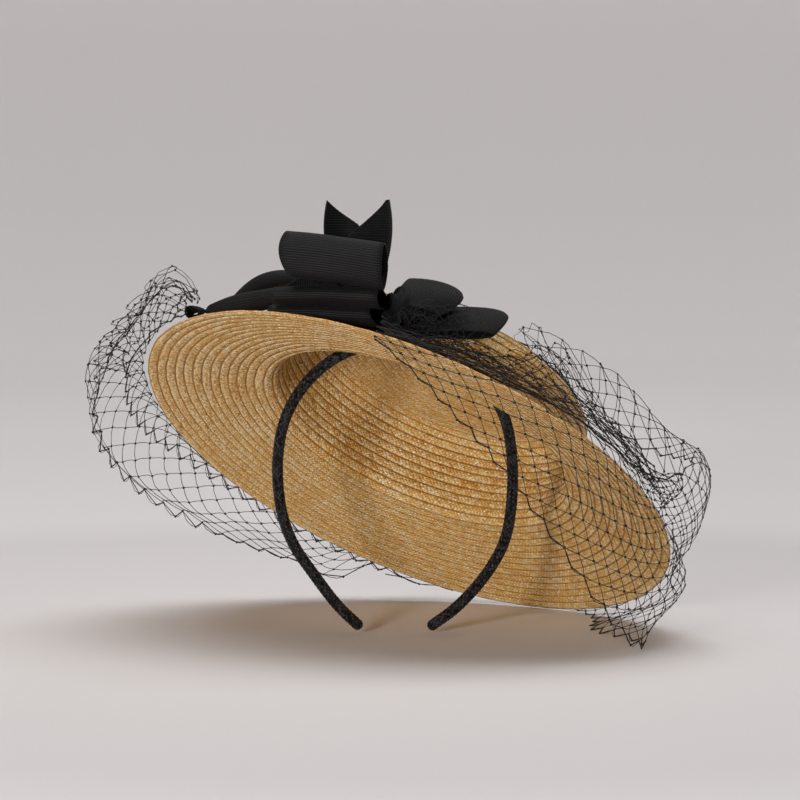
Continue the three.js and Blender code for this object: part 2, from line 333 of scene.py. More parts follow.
def wall_middle():
    """Points (radius, height) along the middle of the wall, from the brim's edge to the axis."""
    half = STRAW_WALL / 2
    slope = math.atan2(BRIM_DROOP, BRIM_RADIUS - BRIM_ROOT)
    side, top = CROWN_RADIUS + half, CROWN_HEIGHT + half
    corner, bend = CROWN_CORNER + half, BRIM_ROOT - CROWN_RADIUS - half
    shares = np.linspace(0, 1, BRIM_POINTS)[:, None]
    brim = (BRIM_RADIUS, half) + shares[:-1] * (BRIM_ROOT - BRIM_RADIUS, BRIM_DROOP)
    turns = np.linspace(slope, math.pi / 2, ROOT_POINTS)[:, None]
    root = np.hstack([
        side + bend - bend * np.sin(turns), BRIM_DROOP + half + bend - bend * np.cos(turns),
    ])
    turns = np.linspace(0, math.pi / 2, CORNER_POINTS)[:, None]
    corner_arc = np.hstack([
        side - corner + corner * np.cos(turns), top - corner + corner * np.sin(turns),
    ])
    crown_top = np.hstack([
        (side - corner) * (1 - shares[1:]), top + CROWN_DOME * np.sin(shares[1:] * math.pi / 2),
    ])
    return np.vstack([brim, root, corner_arc, crown_top])


def lengths_along(line):
    """How far along a line of points each one lies."""
    return np.concatenate([[0], np.cumsum(np.linalg.norm(np.diff(line, axis=0), axis=1))])


def points_along(line, stations):
    """The points of a line at the given lengths along it."""
    return np.stack([np.interp(stations, lengths_along(line), column) for column in line.T], axis=1)


wall_line = wall_middle()
wall_length = float(lengths_along(wall_line)[-1])
ROUNDS = 39
PLAIT_WIDTH = wall_length / ROUNDS
print("wall section", round(wall_length, 1), "mm,", ROUNDS, "rounds of", round(PLAIT_WIDTH, 2), "mm")

# %% [markdown]
# Each face of the wall gets its own row of ridges. Because the rounds lap, a groove on the
# underside doesn't lie behind a groove on the top side, so the outer row is shifted by
# nearly half a round and the wall is never thin.

# %% Ridges and grooves
RIDGE_POINTS = [(0.0, -0.22), (0.07, 0.12), (0.3, 0.3), (0.62, 0.2), (0.93, -0.05)]
CORE = 0.62
OUTER_SHIFT = 0.45
RIM_GAP, POLE_GAP = 0.5, 0.8
TANGENT_REACH = 0.3


def face_chain(side):
    """Section points of one face, and where each lies in its round: side is 1 outside, -1 inside."""
    shift = OUTER_SHIFT if side > 0 else 0.0
    shares = np.array([k + share for k in range(-1, ROUNDS) for share, _ in RIDGE_POINTS])
    lifts = np.array([lift for _ in range(-1, ROUNDS) for _, lift in RIDGE_POINTS])
    stations = (shares + shift) * PLAIT_WIDTH
    kept = (stations > RIM_GAP) & (stations < wall_length - POLE_GAP)
    ahead = points_along(wall_line, stations[kept] + TANGENT_REACH)
    tangents = ahead - points_along(wall_line, stations[kept] - TANGENT_REACH)
    tangents /= np.linalg.norm(tangents, axis=1)[:, None]
    normals = np.stack([tangents[:, 1], -tangents[:, 0]], axis=1)
    points = points_along(wall_line, stations[kept])
    return points + side * normals * (CORE + lifts[kept])[:, None], shares[kept] + 1


top_points, top_shares = face_chain(1)
under_points, under_shares = face_chain(-1)
print("section points", len(top_points), "outside and", len(under_points), "inside")

# %% [markdown]
# The chain runs from the axis over the crown to the brim's edge and back along the inside.
# Two numbers travel with each vertex through the spin: its place across the plait and the
# face it belongs to. They become the texture coordinates afterwards.

# %% Spin the hat
HAT_STEPS = 236
SEAM_TURN = math.radians(60)
RIM_POINTS = [(BRIM_RADIUS + 0.15, 1.15), (BRIM_RADIUS + 0.35, 0.75), (BRIM_RADIUS + 0.1, 0.35)]
RIM_SHARE = 0.9
POLE_SHARE = ROUNDS + 1

straw = bmesh.new()
share_layer = straw.verts.layers.float.new("share")
side_layer = straw.verts.layers.int.new("side")
crown_height = wall_line[-1][1]
chain = [((0.0, crown_height + CORE), POLE_SHARE, 1)]
chain += [(point, share, 1) for point, share in zip(top_points[::-1], top_shares[::-1])]
chain += [(point, RIM_SHARE, 0) for point in RIM_POINTS]
chain += [(point, share, -1) for point, share in zip(under_points, under_shares)]
chain += [((0.0, crown_height - CORE), POLE_SHARE, -1)]
start = Vector((math.cos(SEAM_TURN), math.sin(SEAM_TURN), 0))
section = []
for (radius, height), share, side in chain:
    vert = straw.verts.new(start * radius + Vector((0, 0, height)))
    vert[share_layer], vert[side_layer] = share, side
    section.append(vert)
spin_section(straw, section, HAT_STEPS)
print("spun hat", len(straw.verts), "points,", len(straw.faces), "faces")

# %% [markdown]
# Sewn by hand, no round is a perfect circle: its edge wanders by a few tenths of a
# millimetre and its thickness changes a little. Smooth noise, different in each round,
# moves the vertices along the wall and off it. The rim itself is a bit ragged.

# %% Hand-sewn unevenness
WANDER = 0.42
SWELL = 0.13
RAGGED = 0.22
WANDER_SIZE, ROUND_STEP = 9, 7.3
RAGGED_SIZE = 2.2
STILL_RADIUS = 4

for vert in straw.verts:
    radius = vert.co.xy.length
    if radius < STILL_RADIUS:
        continue
    outward = Vector((vert.co.x, vert.co.y, 0)) / radius
    row = math.floor(vert[share_layer]) + 50 * vert[side_layer]
    spot = outward * radius / WANDER_SIZE + Vector((0, 0, row * ROUND_STEP))
    flat = 1 if radius > BRIM_ROOT else 0.5
    shift = WANDER * flat * noise.noise(spot) + 0.5 * WANDER * noise.noise(spot * 3.1)
    swell = SWELL * noise.noise(spot * 2.3 + Vector((31, 7, 0))) * (vert[side_layer] or 1)
    vert.co += outward * shift
    vert.co.z += swell
    if vert[side_layer] == 0:
        vert.co += outward * RAGGED * noise.noise(outward * BRIM_RADIUS / RAGGED_SIZE)
print("rounds wander by up to", WANDER, "mm")

# %% [markdown]
# The texture coordinates count plait stitches. Along a round, x counts whole plait repeats,
# so the pattern closes without a seam whatever the round's radius, and y is the round's
# number plus the place across it. The rim and both faces get rounds of their own.

# %% Texture coordinates for the plait
STITCH = 2.1
FIRST_REPEAT, OUTER_ROW = 3000, 100
SHARE_EDGE = 0.005
uv_layer = straw.loops.layers.uv.new("plait")
for face in straw.faces:
    middle = face.calc_center_median()
    turn = math.atan2(middle.y, middle.x)
    shares = [corner.vert[share_layer] for corner in face.loops]
    row = math.floor(sum(shares) / len(shares))
    first_row = row + (OUTER_ROW if min(corner.vert[side_layer] for corner in face.loops) > 0 else 0)
    repeats = max(3, round(TAU * middle.xy.length / STITCH))
    for corner, share in zip(face.loops, shares):
        co = corner.vert.co
        delta = math.remainder(math.atan2(co.y, co.x) - turn, TAU) if co.xy.length > POLE_MERGE else 0
        across = min(max(share - row, SHARE_EDGE), 1 - SHARE_EDGE)
        corner[uv_layer].uv = ((turn + delta) / TAU * repeats + FIRST_REPEAT, first_row + across)
print("plait coordinates on", len(straw.faces), "faces, a repeat every", STITCH, "mm")

bmesh.ops.rotate(straw, cent=(0, 0, 0), matrix=HAT_TURN, verts=straw.verts)
to_frame(straw)

# %% [markdown]
# Plaited straw is a weave turned by 45 degrees: flat split straws cross each other in little
# pillows, and each pillow shows one straw. The pattern could be modelled, but there are tens
# of thousands of pillows, so the shader works it out. Two slanted coordinates, p and q,
# number the straws of the two directions. The checkerboard of their cells says which straw
# is on top, and each straw keeps one tone of its own, as real ones do.

# %% Nodes for woven patterns
def floor_of(value):
    """The whole number of the cell that a value lies in."""
    return maths("FLOOR", value)


def fract(value):
    """How far through its cell a value lies."""
    return maths("FRACT", value)


def mix_value(factor, a, b):
    """a where factor is 0 and b where it is 1."""
    return add_node("Mix", factor, None, a, b)


def mix_colour(factor, a, b):
    """The same for colours, whose sockets come last on the node."""
    mixed = add_node("Mix", factor, *5 * [None], a, b, data_type="RGBA")
    return Output(mixed.socket.node.outputs[2])


def bump(height, strength, distance):
    """A normal that stands up by distance, in metres, where height goes from 0 to 1."""
    return add_node("Bump", strength, distance, None, height)


def noise_at(place, scale, detail):
    """Smooth noise between 0 and 1, with scale bumps to a metre of object place."""
    return add_node("TexNoise", place, None, scale, detail)


def random_at(x, y, z=0):
    """One random number for each whole x, y and z."""
    return add_node("TexWhiteNoise", add_node("CombineXYZ", x, y, z))


def dome(value):
    """0 at both ends of a cell and 1 in its middle."""
    return value * (1 - value) * 4


def weave_cells(x, y):
    """Slanted coordinates p and q, their cells, their places in them, and which is on top."""
    p, q = x + y, x - y
    p_cell, q_cell = floor_of(p), floor_of(q)
    on_top = maths("ABSOLUTE", p_cell + q_cell) % 2
    return p, q, p_cell, q_cell, fract(p), fract(q), on_top


# %% Straw material: pillows of the weave
STRAWS_ACROSS = 2.5
straw_material = start_material("plaited_straw")
along_plait, rounds, _ = split(add_node("UVMap", uv_map="plait"))
row, across = floor_of(rounds), fract(rounds)
p, q, p_cell, q_cell, p_in, q_in, on_top = weave_cells(along_plait, across * STRAWS_ACROSS)
p_dome, q_dome = dome(p_in), dome(q_in)
pillow = mix_value(on_top, q_dome, p_dome) ** 0.5 * mix_value(on_top, p_dome, q_dome) ** 0.35

# %% Straw material: tone of each straw
STREAK_ACROSS, STREAK_ALONG = 9, 0.8
CREVICE_SHADE = (0.40, 0.13, 0.016)
straw_random = random_at(mix_value(on_top, q_cell, p_cell), row, on_top)
cell_random = random_at(p_cell, q_cell, row)
across_straw, along_straw = mix_value(on_top, q, p), mix_value(on_top, p, q)
streak_place = add_node(
    "CombineXYZ", across_straw * STREAK_ACROSS, along_straw * STREAK_ALONG, row,
)
streak = noise_at(streak_place, 1, 3)
patch = noise_at(object_place(), 26, 3)
straw_tone = ramp(straw_random * 0.42 + cell_random * 0.22 + streak * 0.3 + patch * 0.2, [
    (0.2, (0.52, 0.24, 0.045)), (0.4, (0.73, 0.42, 0.11)),
    (0.62, (0.83, 0.56, 0.21)), (0.82, (0.97, 0.83, 0.53)),
])
# Down in the crevices between pillows the colour darkens: painted shade in the weave's recesses.
crevice_shaded_tone = mix_colour(pillow ** 0.7, CREVICE_SHADE, straw_tone)

# %% [markdown]
# Where one round laps over the next there is a thin groove; its amber, patchy darkening is
# painted shade, and it is crossed by the dark dashes of the sewing stitches. Just inside it
# the folded straws of the plait's edge stand up as a row of beads, each given a pale painted
# highlight as strong as chance makes it.

# %% Straw material: grooves, stitches and beads
GROOVE_SHADE, STITCHED_GROOVE = (0.38, 0.14, 0.02), (0.11, 0.033, 0.006)
GROOVE_WANDER = 0.1
BEAD_HIGHLIGHT = (0.98, 0.80, 0.47)
STITCH_SLANT, BEAD_SLANT = 1.2, -0.8
in_groove = ramp(across + (streak - 0.5) * GROOVE_WANDER, [
    (0.0, 1.0), (0.05, 0.85), (0.12, 0.0), (0.88, 0.0), (0.96, 0.6), (1.0, 1.0),
])
stitch_place = fract(along_plait + across * STITCH_SLANT)
stitch = ramp(stitch_place, [(0.0, 0.1), (0.25, 1.0), (0.5, 1.0), (0.75, 0.1)])
groove_shade_colour = mix_colour(stitch * 0.75, GROOVE_SHADE, STITCHED_GROOVE)
# The groove mask darkens the colour in patches as painted shade; it also roughens and sinks the
# relief.
shaded_groove = maths("MULTIPLY", in_groove, 0.55 + patch * 0.7, clamp=True)
shaded_straw = mix_colour(shaded_groove, crevice_shaded_tone, groove_shade_colour)
# The beads' pale colour is a painted highlight; the same mask also raises them in the relief.
bead_band = ramp(across, [(0.08, 0.0), (0.2, 1.0), (0.36, 0.8), (0.5, 0.0)])
bead_place = along_plait + across * BEAD_SLANT
pale = random_at(floor_of(bead_place), row)
bead_and_highlight = maths("MULTIPLY", bead_band * dome(fract(bead_place)) ** 2.5, pale ** 1.5 * 1.4, clamp=True)

# %% Straw material: gloss and relief
facet = (cell_random - 0.5) * (p_in - q_in)
relief = pillow + streak * 0.25 + bead_and_highlight * 0.8 - shaded_groove * 0.8 + facet * 1.2
feed_shader({
    "Base Color": mix_colour(bead_and_highlight, shaded_straw, BEAD_HIGHLIGHT),
    "Roughness": maths("ADD", 0.17 + cell_random * 0.36, shaded_groove * 0.5, clamp=True),
    "Specular IOR Level": 0.36,
    "Specular Tint": (1.0, 0.80, 0.50),
    "Subsurface Weight": 0.15,
    "Subsurface Scale": 0.0012,
    "Subsurface Radius": (1.0, 0.6, 0.28),
    "Normal": bump(relief, 1.0, 0.0007),
})
hand_over(show_bmesh("sewn_straw", straw, straw_material), "straw_hat")

# %% [markdown]
# The headband is a springy flat hoop inside a round plaited cover. The hoop's line is a
# short table of half widths, upright in its own plane, which leans until its top meets the
# near wall of the crown. The same table and lean stand in the CAD model.

# %% Line of the headband
BAND_FOOT = Vector((-5.6, -12.2, FLOOR))
BAND_LEAN = math.radians(11.2)
BAND_ROWS = [
    # left and right half width, height
    (18.2, 17.8, 3.1), (30.4, 33.4, 15.4), (43.5, 48.6, 33.3),
    (54.8, 58.2, 51.2), (60.7, 61.8, 69.2), (62.5, 62.3, 97.5),
]
BAND_RISE = 65
BAND_SPACING = 0.42
EVEN, CENTRIPETAL = 0.0, 0.5
POINTS_BETWEEN = 24


def through(points, share, power):
    """The Catmull-Rom curve through points, at a share of its steps. power spaces its knots."""
    last = len(points) - 1
    k = min(int(share * last), last - 1)
    b, c = points[k], points[k + 1]
    a = points[k - 1] if k else 2 * b - c
    d = points[k + 2] if k + 2 <= last else 2 * c - b
    k1, k2, k3 = (
        np.linalg.norm(q - p, axis=-1, keepdims=True) ** power for p, q in ((a, b), (b, c), (c, d))
    )
    k2, k3 = k1 + k2, k1 + k2 + k3
    t = k1 + (share * last - k) * (k2 - k1)
    ab, bc = a + (b - a) * t / k1, b + (c - b) * (t - k1) / (k2 - k1)
    cd = c + (d - c) * (t - k2) / (k3 - k2)
    abc, bcd = ab + (bc - ab) * t / k2, bc + (cd - bc) * (t - k1) / (k3 - k1)
    return abc + (bcd - abc) * (t - k1) / (k2 - k1)


def smooth_line(points, spacing):
    """Even points, about spacing apart, on a smooth curve through points; and its length."""
    points = np.array(points, float)
    shares = np.linspace(0, 1, POINTS_BETWEEN * (len(points) - 1) + 1)
    dense = np.array([through(points, share, CENTRIPETAL) for share in shares])
    length = lengths_along(dense)[-1]
    stations = np.linspace(0, length, max(2, round(length / spacing) + 1))
    return points_along(dense, stations), length


right_side = [(right, 0, up) for _, right, up in BAND_ROWS]
left_side = [(-left, 0, up) for left, _, up in reversed(BAND_ROWS)]
_, shoulder_right, shoulder_up = BAND_ROWS[-1]
over_head = [
    (shoulder_right * math.cos(turn), 0, shoulder_up + BAND_RISE * math.sin(turn))
    for turn in (math.pi * k / 8 for k in range(1, 8))
]
lean = np.array(Matrix.Rotation(BAND_LEAN, 3, "X"))
band_line, band_length = smooth_line(right_side + over_head + left_side, BAND_SPACING)
band_line = band_line @ lean.T + np.array(BAND_FOOT)
print("headband", round(band_length, 1), "mm long")

# %% [markdown]
# The cover is a tube of plait. A sheet of quads is wrapped round the hoop's line, and each
# vertex is raised by the same over-and-under weave as the straw's, only here as real
# relief, because the glints along the band's edge come from it. The tips close in a dome.

# %% Wrap the plaited cover
BAND_THICKNESS, BAND_WIDTH = 6.2, 8.0
STRANDS_ROUND = 9
STRAND_PITCH = 2.6
STRAND_RELIEF, STRAND_SINK = 0.6, 0.25
AROUND = 54
TIP_DOME = 3.0


def unit_grid(columns, rows, uv_name, uv_size):
    """Quads from 0 to 1 in x and y, with texture coordinates from 0 to uv_size."""
    bm = bmesh.new()
    bmesh.ops.create_grid(bm, x_segments=columns, y_segments=rows, size=0.5)
    bmesh.ops.translate(bm, vec=(0.5, 0.5, 0), verts=bm.verts)
    layer = bm.loops.layers.uv.new(uv_name)
    for face in bm.faces:
        for corner in face.loops:
            corner[layer].uv = (corner.vert.co.x * uv_size[0], corner.vert.co.y * uv_size[1])
    return bm


steps = len(band_line) - 1
cover = unit_grid(steps, AROUND, "plait", (band_length / STRAND_PITCH, STRANDS_ROUND))
tangents = np.gradient(band_line, axis=0)
tangents /= np.linalg.norm(tangents, axis=1)[:, None]
sideways = Vector(lean @ (0, 1, 0))
for vert in cover.verts:
    share, turn = vert.co.x, vert.co.y * TAU
    index = round(share * steps)
    outward = Vector(tangents[index]).cross(sideways).normalized()
    along, around = share * band_length / STRAND_PITCH, vert.co.y * STRANDS_ROUND
    p_strand, q_strand = along + around, along - around
    over = (math.floor(p_strand) + math.floor(q_strand)) % 2
    wide, long = (p_strand % 1, q_strand % 1) if over else (q_strand % 1, p_strand % 1)
    raised = math.sin(math.pi * wide) ** 0.7 * (0.55 + 0.45 * math.sin(math.pi * long)) - 0.6
    from_tip = min(share, 1 - share) * band_length
    closing = math.sqrt(max(0.0, 1 - max(0.0, 1 - from_tip / TIP_DOME) ** 2))
    thickness = (BAND_THICKNESS / 2 - STRAND_SINK + STRAND_RELIEF * raised) * closing
    width = thickness * BAND_WIDTH / BAND_THICKNESS
    centre = Vector(band_line[index])
    vert.co = centre + outward * thickness * math.cos(turn) + sideways * width * math.sin(turn)
bmesh.ops.remove_doubles(cover, verts=cover.verts, dist=0.02)
to_frame(cover)

# %% [markdown]
# The cover's strands are glossy black viscose. A fine thread texture runs along each
# strand, so that the light breaks into small dashes instead of one smooth line. The middle
# of each strand is painted paler, a painted highlight, over a random tone of its own.

# %% Headband material
THREADS_IN_STRAND = 4
band_material = start_material("plaited_cover")
p, q, p_cell, q_cell, p_in, q_in, over = weave_cells(*split(add_node("UVMap", uv_map="plait"))[:2])
fine_threads = maths("SINE", mix_value(over, q, p) * (TAU * THREADS_IN_STRAND))
strand_random = random_at(p_cell, q_cell, over)
# The middle of each strand is painted paler: a painted highlight.
strand_highlight = dome(mix_value(over, q_in, p_in))
feed_shader({
    "Base Color": ramp(strand_highlight * 0.55 + strand_random * 0.45, [
        (0.3, (0.0008, 0.0008, 0.0008)), (0.62, (0.004, 0.0038, 0.004)), (0.88, (0.05, 0.048, 0.049)),
    ]),
    "Roughness": 0.22 + strand_random * 0.3,
    "Specular IOR Level": 0.18,
    "Normal": bump(fine_threads, 0.7, 0.00015),
})
hand_over(show_bmesh("plaited_headband", cover, band_material), "headband")

# %% [markdown]
# The bow is one length of grosgrain, a ribbon about 56 mm wide whose thick weft makes a rib
# every millimetre or so straight across its width. It is folded into loops that are sewn
# down at their roots, and each loop is a hollow roll that is open at both selvedges. A loop
# could be a swept tube, but then the ribs would have to be painted. Here each one is a
# flat strip of quads, four rows of them to a rib, which is curled into its roll.

# %% Ribbon helpers
RIB_PITCH = 1.3
RIB_DEPTH = 0.2
ROWS_TO_A_RIB = 4
CLOTH = 0.5
TINY = 1e-9
SURFACE_STEP = 1e-3


def strip(length, width, columns_across):
    """A flat strip of ribbon, with its texture coordinates in millimetres."""
    rows = round(length / RIB_PITCH * ROWS_TO_A_RIB)
    return unit_grid(rows, columns_across, "cloth", (length, width))


def curl(bm, surface, length):
    """Carries a strip onto surface(s, w), s along it and w across it, and raises the ribs."""
    s, w = np.array([vert.co.xy for vert in bm.verts]).T
    along_s = surface(s + SURFACE_STEP, w) - surface(s - SURFACE_STEP, w)
    along_w = surface(s, w + SURFACE_STEP) - surface(s, w - SURFACE_STEP)
    normals = np.cross(along_s, along_w)
    normals /= np.maximum(np.linalg.norm(normals, axis=1), TINY)[:, None]
    lift = RIB_DEPTH * np.cos(TAU * s * length / RIB_PITCH)
    for vert, point in zip(bm.verts, surface(s, w) + normals * lift[:, None]):
        vert.co = point


def finish_ribbon(bm, name, node):
    """Hands a curled strip over as a sheet of cloth with its real thickness."""
    to_frame(bm)
    ribbon = show_bmesh(name, bm, ribbon_material)
    hand_over(ribbon, node)
    cloth = ribbon.modifiers.new("cloth", "SOLIDIFY")
    cloth.thickness = CLOTH * MM
    cloth.offset = 0


# %% [markdown]
# Grosgrain is matt, but each rib catches a soft line of light. The rib itself is real
# relief; the shader paints its crest paler as a painted highlight, and adds the fine warp
# threads that bind it and a little sheen as on spun viscose.

# %% Ribbon material
WARP_PITCH = 0.42
ribbon_material = start_material("grosgrain")
along_ribbon, across_ribbon, _ = split(add_node("UVMap", uv_map="cloth"))
rib_highlight = maths("COSINE", along_ribbon * (TAU / RIB_PITCH))
warp = maths("SINE", across_ribbon * (TAU / WARP_PITCH))
fuzz, patch = noise_at(object_place(), 2600, 2), noise_at(object_place(), 45, 3)
feed_shader({
    # Paler on each rib's crest: a painted highlight.
    "Base Color": ramp(fuzz * 0.3 + patch * 0.3 + (rib_highlight + 1) * 0.5 * 0.6, [
        (0.3, (0.0008, 0.0008, 0.0009)), (0.6, (0.0035, 0.0033, 0.0035)),
        (0.9, (0.0150, 0.0142, 0.0146)),
    ]),
    "Roughness": 0.5 + fuzz * 0.25,
    "Specular IOR Level": 0.16,
    "Sheen Weight": 0.02,
    "Sheen Roughness": 0.4,
    "Normal": bump(warp * 0.35 + fuzz, 0.35, 0.00012),
})

# %% [markdown]
# Every loop is described by where it points, which way its ribbon's width runs, how long
# and high it is, and how much ribbon it shows. begin and end are its height at the near and
# the far selvedge, as a share of the full one. hold says what keeps level as it tapers (-1
# its underside, 0 its middle), slant leans the near selvedge over, dip draws the far one in
# above and below, arch bows the whole roll, slide moves it along its width, and nose draws
# its tip back at both selvedges, which leaves a rounded end.

# %% Table of loops
Loop = namedtuple("Loop", (
    "name", "rests_on", "point", "across",
    "length", "height", "ribbon", "begin", "end", "hold", "slant", "dip", "arch", "slide", "nose",
), defaults=(0, 0))
LOOPS = [
    Loop("top_roll", "loop_middle", (-0.12, -0.98, 0.06), (-0.98, 0.12, 0.13),
         29, 28.5, 54, 1, 1, 0, 1.5, 5.4, 0.4),
    Loop("middle", "loop_lower", (-0.16, -0.97, 0.12), (-0.98, 0.16, 0.02),
         36, 13, 56, 1, 0.9, 0, 0.3, 0.6, 0.9),
    Loop("lower", "straw_hat", (-0.25, -0.95, 0.12), (-0.95, 0.28, 0.03),
         36, 12, 56, 1, 0.9, 0, 2.5, 0.6, 0.5),
    Loop("left", "straw_hat", (-0.45, -0.88, 0.05), (-0.82, 0.5, -0.22),
         22, 14.5, 46, 0.7, 0.85, 0, 0, 1, 1.2, slide=-5),
    Loop("left_back", "loop_left", (-0.5, -0.85, 0.1), (-0.84, 0.42, -0.33),
         26, 16, 44, 0.4, 0.42, -1, 0, 1, 4.2, slide=-2),
    Loop("left_end", "straw_hat", (-0.9, 0.3, -0.2), (-0.35, -0.92, 0.1),
         9, 8.5, 10.2, 0.08, 1.1, 0, 0, 0, 0),
    Loop("right_upper", "bow_knot", (0.99, 0, -0.08), (-0.30, -0.83, -0.47),
         33, 12, 27, 0.5, 0.55, 0, 0, 0, 4.5, nose=9),
    Loop("right_lower", "bow_knot", (1, 0, 0), (0, -0.92, -0.38),
         55, 9.5, 29, 0.5, 0.75, 0, 0, 0, 3, nose=7),
]


def loop_outline(length, height):
    """A drop outline: shares of its own length, x to the tip, y upward, and that length."""
    turns = np.linspace(-0.998 * math.pi, 0.998 * math.pi, 600)
    reach = (1 + np.cos(turns)) / 2
    swell = 0.34 + 0.66 * np.sqrt(reach)
    x = (length - CLOTH) * (reach - 1) - CLOTH
    y = (height / 2 - CLOTH) * np.sin(turns) * swell
    lengths = lengths_along(np.stack([x, y], axis=1))
    return lengths / lengths[-1], x, y, lengths[-1]


def loop_surface(loop):
    """The curled surface of a loop, round its own tip, and the ribbon's length in it."""
    shares, xs, ys, length = loop_outline(loop.length, loop.height)
    across = Vector(loop.across).normalized()
    point = Vector(loop.point)
    point = (point - across * point.dot(across)).normalized()
    across, point, rise = (np.array(v) for v in (across, point, across.cross(point)))
    half = loop.height / 2

    def surface(s, w):
        x, y = np.interp(s, shares, xs), np.interp(s, shares, ys)
        w_in = np.clip(w, 0, 1)
        taper = 1 + (loop.end - 1) * w_in ** 1.5 + (loop.begin - 1) * (1 - w_in) ** 3
        slant = loop.slant * (1 - w)
        level = y * taper + loop.hold * half * 0.83 * (1 - taper) + loop.arch * 4 * w * (1 - w)
        x = x - loop.nose * (2 * w_in - 1) ** 2 * (x / loop.length + 1)
        wave = 0.35 * np.sin(3.1 * w + 5 * s + loop.ribbon) + 0.2 * np.sin(9 * w - 7 * s)
        side = w * loop.ribbon + slant * y / half - loop.dip * w * (y / half - 0.3) ** 2
        parts = ((x + wave, point), (level + wave * 0.6, rise), (side, across))
        return sum(size[:, None] * direction for size, direction in parts)

    return surface, length


# %% Curl the loops
LOOP_COLUMNS = 16
for loop in LOOPS:
    surface, length = loop_surface(loop)
    bm = strip(length, loop.ribbon, LOOP_COLUMNS)
    curl(bm, surface, length)
    low, high = (
        Vector(pick(vert.co[k] for vert in bm.verts) for k in range(3)) for pick in (min, max)
    )
    node = "loop_" + loop.name
    box_low, box_high = (Vector(corner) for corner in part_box(node))
    shift = ((box_low + box_high) / 2 - RIM_CENTRE) / MM - (low + high) / 2
    shift += loop.slide * Vector(loop.across).normalized()
    bmesh.ops.translate(bm, vec=shift, verts=bm.verts)
    finish_ribbon(bm, "ribbon_" + loop.name, node)

# %% [markdown]
# One end of the ribbon stands up behind the rolls as the tail. Its end is cut to a
# swallowtail, and the ribbon is folded in an S across its width, so that the right half
# stands in front of the left. The notch is cut while the strip is still flat, with two
# slanted planes, because a straight cut on flat cloth is what scissors make.

# %% Tail
TAIL_PLAN = [
    (-41, -71), (-34, -67), (-27, -66), (-24, -68.5), (-28, -72), (-35, -75),
    (-36.5, -77.5), (-30, -79), (-20, -78), (-11, -74.5), (-8.6, -71),
]
TAIL_TIP, TAIL_NOTCH, TAIL_FOOT = 145.8, 120.5, 96.8
NOTCH_PLACE = 0.53
NOTCH_CUTS = [(-1, 0.0), (1, 0.95)]
TAIL_BULGE = 2.2
FOOT_MIDDLE = (-24, -71)
FOOT_PINCH = 0.6
TAIL_SPACING, TAIL_COLUMNS = 0.25, 72

tail_line, tail_width = smooth_line(TAIL_PLAN, TAIL_SPACING)
tail_shares = np.linspace(0, 1, len(tail_line))
tail_length = TAIL_TIP - TAIL_FOOT


def tail_surface(s, w):
    """s runs up the tail and w across it."""
    x = np.interp(w, tail_shares, tail_line[:, 0])
    y = np.interp(w, tail_shares, tail_line[:, 1])
    spread = FOOT_PINCH + (1 - FOOT_PINCH) * np.sin(TAIL_BULGE * s) / math.sin(TAIL_BULGE)
    lean = 1.2 * np.sin(2.6 * s) * np.cos(5 * w)
    return np.stack([
        FOOT_MIDDLE[0] + (x - FOOT_MIDDLE[0]) * spread,
        FOOT_MIDDLE[1] + (y - FOOT_MIDDLE[1]) * spread + lean,
        TAIL_FOOT + tail_length * s + 2.2 * (w - 0.8) * np.clip(w - 0.6, 0, 1),
    ], axis=1)


tail = strip(tail_length, tail_width, TAIL_COLUMNS)
notch_depth = (TAIL_TIP - TAIL_NOTCH) / tail_length
for side, tip in NOTCH_CUTS:
    half = [f for f in tail.faces if (f.calc_center_median().y - NOTCH_PLACE) * side > 0]
    corners = dict.fromkeys(item for face in half for item in (*face.verts, *face.edges))
    normal = Vector((abs(tip - NOTCH_PLACE), -side * notch_depth, 0))
    bmesh.ops.bisect_plane(
        tail, geom=[*corners, *half], plane_co=(1, tip, 0), plane_no=normal,
        clear_outer=True, dist=1e-5,
    )
curl(tail, tail_surface, tail_length)
finish_ribbon(tail, "ribbon_tail", "bow_tail")
print("tail", round(tail_width, 1), "mm wide,", round(tail_length, 1), "mm long")

# %% [markdown]
# The knot is a short piece of the same ribbon, drawn round the roots of the loops and sewn
# down. Its width is crushed into pleats, and both its ends are gathered to a small pucker.
# Behind the rolls stands a plain length of the same ribbon, which fills the gaps between them with
# black.

# %% Knot
KNOT_SHIFT = Vector((4, 1, 0))
KNOT_SIZE = Vector((24, 28, 36))
KNOT_RIBBON = 34
KNOT_PLEATS, PLEAT_DEPTH = 7, 0.1
PUCKER = 0.12
KNOT_COLUMNS = 60
knot_low, knot_high = (Vector(corner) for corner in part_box("bow_knot"))
knot_middle = ((knot_low + knot_high) / 2 - RIM_CENTRE) / MM + KNOT_SHIFT


def knot_surface(s, w):
    """s runs round the knot and w from its far pucker to its near one."""
    turn = TAU * s
    barrel = PUCKER + (1 - PUCKER) * np.sin(math.pi * np.clip(w, 0, 1)) ** 0.6
    pleat = 1 - PLEAT_DEPTH * (1 + np.sin(KNOT_PLEATS * turn + 2.5 * np.sin(6 * w)))
    reach = barrel * pleat / 2
    return np.stack([
        knot_middle.x + KNOT_SIZE.x * reach * np.cos(turn),
        knot_middle.y + KNOT_SIZE.y * (w - 0.5),
        knot_middle.z + KNOT_SIZE.z * reach * np.sin(turn),
    ], axis=1)


knot_round = math.pi * 0.5 * (KNOT_SIZE.x + KNOT_SIZE.z) * 0.9
knot = strip(knot_round, KNOT_RIBBON, KNOT_COLUMNS)
curl(knot, knot_surface, knot_round)
bmesh.ops.remove_doubles(knot, verts=knot.verts, dist=0.01)
finish_ribbon(knot, "ribbon_knot", "bow_knot")

# %% Base ribbon behind the rolls
BASE_LENGTH, BASE_HEIGHT = 66, 34
BASE_CLEAR = 20.5
BASE_COLUMNS = 24


